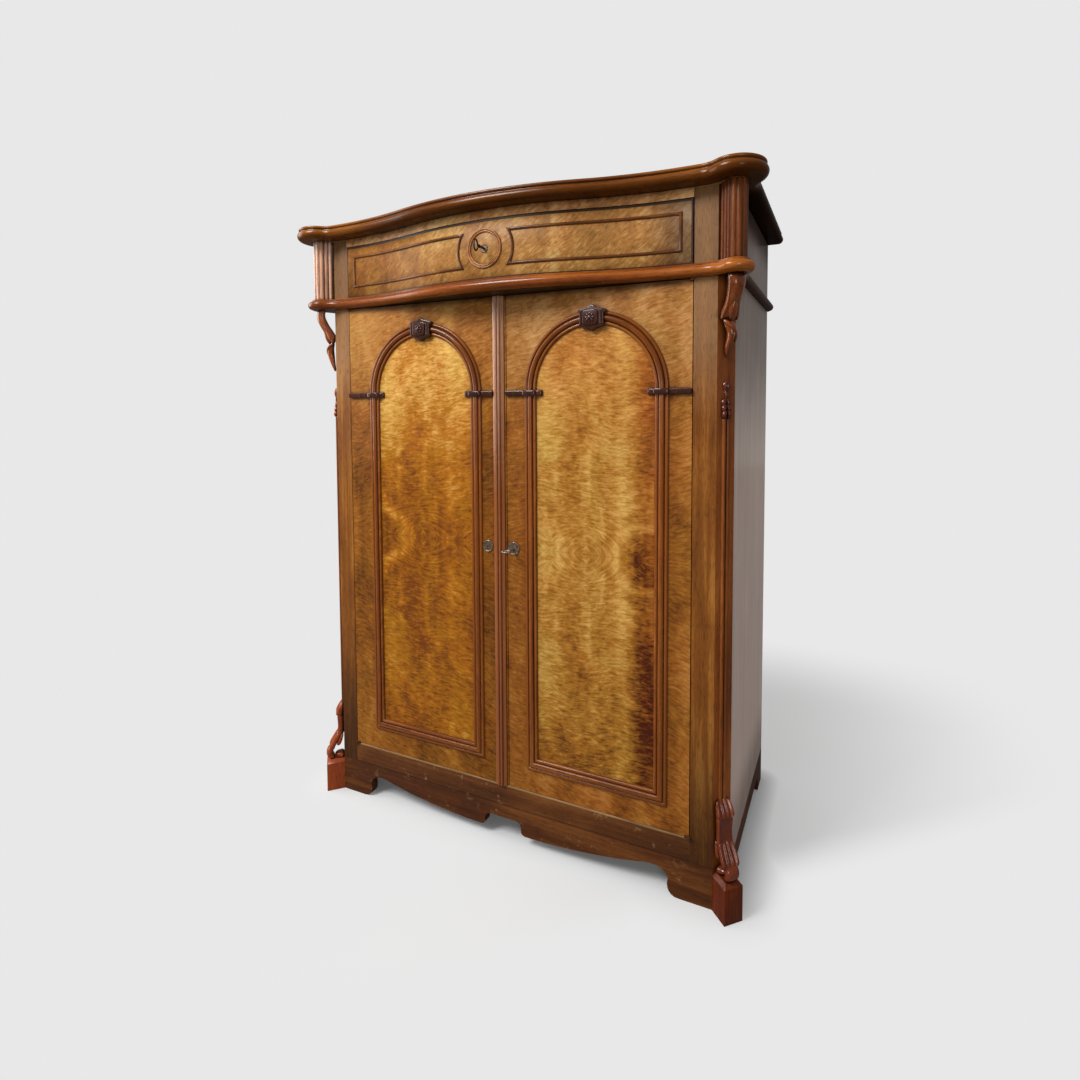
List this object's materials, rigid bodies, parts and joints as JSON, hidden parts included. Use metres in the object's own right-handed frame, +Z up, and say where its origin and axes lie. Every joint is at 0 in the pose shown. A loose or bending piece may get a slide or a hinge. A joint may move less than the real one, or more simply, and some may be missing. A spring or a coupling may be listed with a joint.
{
  "type": "linen press cabinet",
  "caption": "Tall two-door linen press with arched moulded panels, serpentine top drawer, reeded corner columns and carved corner brackets.",
  "frame": {"origin": "centre of the bounding box at the floor", "axes": "+Z up, the front faces -Y, +X to the right when facing the front"},
  "size_m": [1.427, 0.74, 1.803],
  "materials": {
    "case_wood": "satin french-polished veneer",
    "side_wood": "satin french-polished veneer",
    "panel_veneer": "polished figured veneer",
    "moulding_wood": "gloss polished solid wood",
    "plinth_wood": "worn polish",
    "inner_wood": "bare softwood",
    "dark_carving": "ebonised carved wood",
    "ironwork": "dark aged iron",
    "key_metal": "worn iron"
  },
  "bodies": {
    "carcase": {"left_side_panel": "side_wood", "right_side_panel": "side_wood", "left_stile": "case_wood", "right_stile": "case_wood", "canted_posts": "case_wood", "bottom_board": "inner_wood", "dust_board": "inner_wood", "top_board": "inner_wood", "back_panel": "inner_wood", "base_rail": "plinth_wood", "plinth_front": "plinth_wood", "plinth_sides": "plinth_wood", "plinth_back": "inner_wood", "foot_blocks": "moulding_wood", "foot_scrolls": "moulding_wood", "upper_scrolls": "moulding_wood", "corner_drops": "moulding_wood", "corner_beads": "moulding_wood", "corner_columns": "moulding_wood", "waist_rail": "case_wood", "waist_moulding": "moulding_wood", "frieze_rail": "case_wood", "cornice_moulding": "moulding_wood", "drawer_runners": "inner_wood", "lower_shelf": "inner_wood", "middle_shelf": "inner_wood", "upper_shelf": "inner_wood", "shelf_battens": "inner_wood", "pivot_plates": "ironwork"},
    "left_door": {"left_door_frame": "case_wood", "left_door_panel": "panel_veneer", "left_arch_moulding": "moulding_wood", "left_jamb_moulding": "moulding_wood", "left_capitals": "moulding_wood", "left_keystone": "dark_carving", "astragal": "moulding_wood", "left_escutcheon": "ironwork", "left_door_pivots": "ironwork", "left_door_ironwork": "ironwork"},
    "right_door": {"right_door_frame": "case_wood", "right_door_panel": "panel_veneer", "right_arch_moulding": "moulding_wood", "right_jamb_moulding": "moulding_wood", "right_capitals": "moulding_wood", "right_keystone": "dark_carving", "right_escutcheon": "ironwork", "right_door_pivots": "ironwork", "door_lock_case": "ironwork"},
    "drawer": {"drawer_front": "case_wood", "drawer_ring": "moulding_wood", "drawer_beads": "moulding_wood", "drawer_box": "inner_wood", "drawer_bottom": "inner_wood", "drawer_lock_case": "ironwork"},
    "upper_bolt": {"upper_bolt": "ironwork"},
    "lower_bolt": {"lower_bolt": "ironwork"},
    "door_bolt": {"door_lock_bolt": "ironwork"},
    "door_key": {"door_key": "key_metal"},
    "drawer_bolt": {"drawer_lock_bolt": "ironwork"},
    "drawer_key": {"drawer_key": "key_metal"}
  },
  "joints": [
    {"name": "left_door_swing", "type": "hinge", "parent": "carcase", "child": "left_door", "pos_m": [-0.542, -0.252, 0.8605], "axis": [0, 0, -1], "range_deg": [0, 105]},
    {"name": "right_door_swing", "type": "hinge", "parent": "carcase", "child": "right_door", "pos_m": [0.542, -0.252, 0.8605], "axis": [0, 0, 1], "range_deg": [0, 105]},
    {"name": "drawer_slide", "type": "slide", "parent": "carcase", "child": "drawer", "axis": [0, -1, 0], "range_m": [0, 0.38]},
    {"name": "upper_bolt_slide", "type": "slide", "parent": "left_door", "child": "upper_bolt", "axis": [0, 0, 1], "range_m": [0, 0.03]},
    {"name": "lower_bolt_slide", "type": "slide", "parent": "left_door", "child": "lower_bolt", "axis": [0, 0, -1], "range_m": [0, 0.016]},
    {"name": "door_key_turn", "type": "hinge", "parent": "right_door", "child": "door_key", "pos_m": [0.043, -0.248, 0.854], "axis": [0, 1, 0], "range_deg": [0, 360]},
    {"name": "door_bolt_slide", "type": "slide", "parent": "right_door", "child": "door_bolt", "axis": [-1, 0, 0], "range_m": [0, 0.012]},
    {"name": "drawer_key_turn", "type": "hinge", "parent": "drawer", "child": "drawer_key", "pos_m": [0, -0.318, 1.666], "axis": [0, 1, 0], "range_deg": [0, 360]},
    {"name": "drawer_bolt_slide", "type": "slide", "parent": "drawer", "child": "drawer_bolt", "axis": [0, 0, 1], "range_m": [0, 0.012]}
  ],
  "couplings": [
    {"joint": "door_key_turn", "follows": "door_bolt_slide", "rad_per_m": 523.6},
    {"joint": "drawer_key_turn", "follows": "drawer_bolt_slide", "rad_per_m": 523.6}
  ]
}
